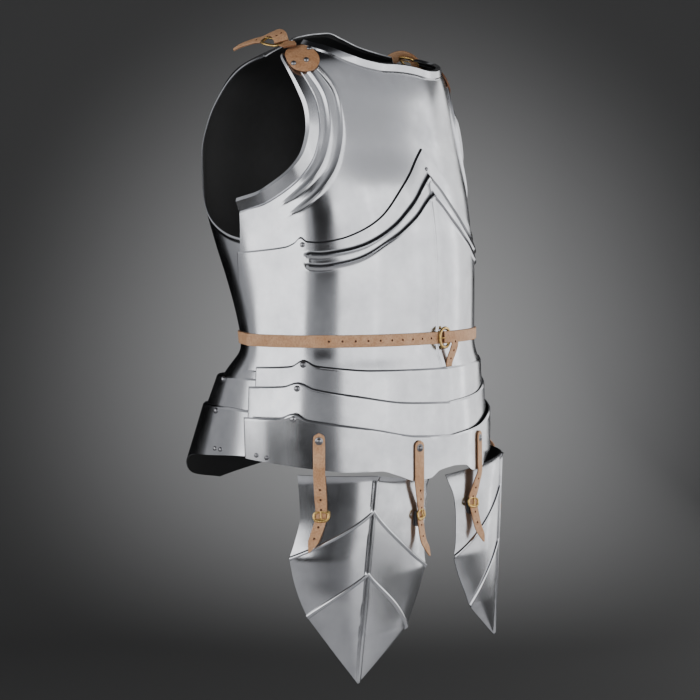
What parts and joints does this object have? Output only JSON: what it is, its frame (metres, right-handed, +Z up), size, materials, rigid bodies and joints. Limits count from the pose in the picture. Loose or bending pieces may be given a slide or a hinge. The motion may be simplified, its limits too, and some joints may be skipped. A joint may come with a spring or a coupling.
{
  "type": "cuirass with tassets",
  "caption": "Fluted steel breastplate, backplate and plackart with hooped fauld and culet, two tassets hung on buckled leather straps, waist belt and shoulder straps.",
  "frame": {"origin": "between the shoulders, in the middle plane, level with the inner ends of the shoulder tabs", "axes": "+Z up, the front faces -Y, the wearer's right side is -X"},
  "size_m": [0.4414, 0.4293, 0.8414],
  "materials": {
    "plate_steel": "satin polished, dark inside",
    "rivets": "domed, polished",
    "strap_leather": "undyed vegetable tanned, matt",
    "patch_leather": "brown, matt",
    "brass": "polished"
  },
  "bodies": {
    "plates": {"breastplate": "plate_steel", "backplate": "plate_steel", "plackart": "plate_steel", "waist_belt": "strap_leather", "waist_buckle": "brass", "waist_belt_tail": "strap_leather", "shoulder_patch_right": "patch_leather", "shoulder_patch_left": "patch_leather", "shoulder_strap_right": "strap_leather", "shoulder_strap_left": "strap_leather", "shoulder_buckle_right": "brass", "shoulder_buckle_left": "brass", "plackart_rivet_centre": "rivets", "plackart_rivet_left": "rivets", "plackart_rivet_right": "rivets", "shoulder_rivet_right_1": "rivets", "shoulder_rivet_right_2": "rivets", "shoulder_rivet_right_3": "rivets", "shoulder_rivet_left_1": "rivets", "shoulder_rivet_left_2": "rivets", "shoulder_rivet_left_3": "rivets"},
    "fauld_upper": {"fauld_lame_1": "plate_steel", "fauld_lame_1_rivet_right": "rivets", "fauld_lame_1_rivet_left": "rivets"},
    "fauld_middle": {"fauld_lame_2": "plate_steel", "fauld_lame_2_rivet_right": "rivets", "fauld_lame_2_rivet_left": "rivets"},
    "fauld_lower": {"fauld_lame_3": "plate_steel", "fauld_lame_3_rivet_right": "rivets", "fauld_lame_3_rivet_left": "rivets", "fauld_lame_3_hem_rivet_right_1": "rivets", "fauld_lame_3_hem_rivet_right_2": "rivets", "fauld_lame_3_hem_rivet_left_1": "rivets", "fauld_lame_3_hem_rivet_left_2": "rivets", "tasset_right": "plate_steel", "tasset_left": "plate_steel", "tasset_strap_outer_right": "strap_leather", "tasset_strap_outer_left": "strap_leather", "tasset_strap_inner_right": "strap_leather", "tasset_strap_inner_left": "strap_leather", "tasset_buckle_outer_right": "brass", "tasset_buckle_outer_left": "brass", "tasset_buckle_inner_right": "brass", "tasset_buckle_inner_left": "brass", "strap_rivet_outer_right": "rivets", "strap_rivet_outer_left": "rivets", "strap_rivet_inner_right": "rivets", "strap_rivet_inner_left": "rivets"},
    "culet_upper": {"culet_lame_1": "plate_steel", "culet_lame_1_rivet_right": "rivets", "culet_lame_1_rivet_left": "rivets"},
    "culet_lower": {"culet_lame_2": "plate_steel", "culet_lame_2_rivet_right": "rivets", "culet_lame_2_rivet_left": "rivets", "culet_lame_2_hem_rivet_right_1": "rivets", "culet_lame_2_hem_rivet_right_2": "rivets", "culet_lame_2_hem_rivet_left_1": "rivets", "culet_lame_2_hem_rivet_left_2": "rivets"}
  },
  "joints": [
    {"name": "fauld_upper_hinge", "type": "hinge", "parent": "plates", "child": "fauld_upper", "pos_m": [0, -0.0619, -0.4105], "axis": [-1, 0, 0], "range_deg": [0, 4]},
    {"name": "fauld_middle_hinge", "type": "hinge", "parent": "fauld_upper", "child": "fauld_middle", "pos_m": [0, -0.0592, -0.44], "axis": [-1, 0, 0], "range_deg": [0, 4]},
    {"name": "fauld_lower_hinge", "type": "hinge", "parent": "fauld_middle", "child": "fauld_lower", "pos_m": [0, -0.0627, -0.477], "axis": [-1, 0, 0], "range_deg": [0, 4]},
    {"name": "culet_upper_hinge", "type": "hinge", "parent": "plates", "child": "culet_upper", "pos_m": [0, 0.0781, -0.4359], "axis": [1, 0, 0], "range_deg": [0, 4]},
    {"name": "culet_lower_hinge", "type": "hinge", "parent": "culet_upper", "child": "culet_lower", "pos_m": [0, 0.0823, -0.4769], "axis": [1, 0, 0], "range_deg": [0, 4]}
  ]
}
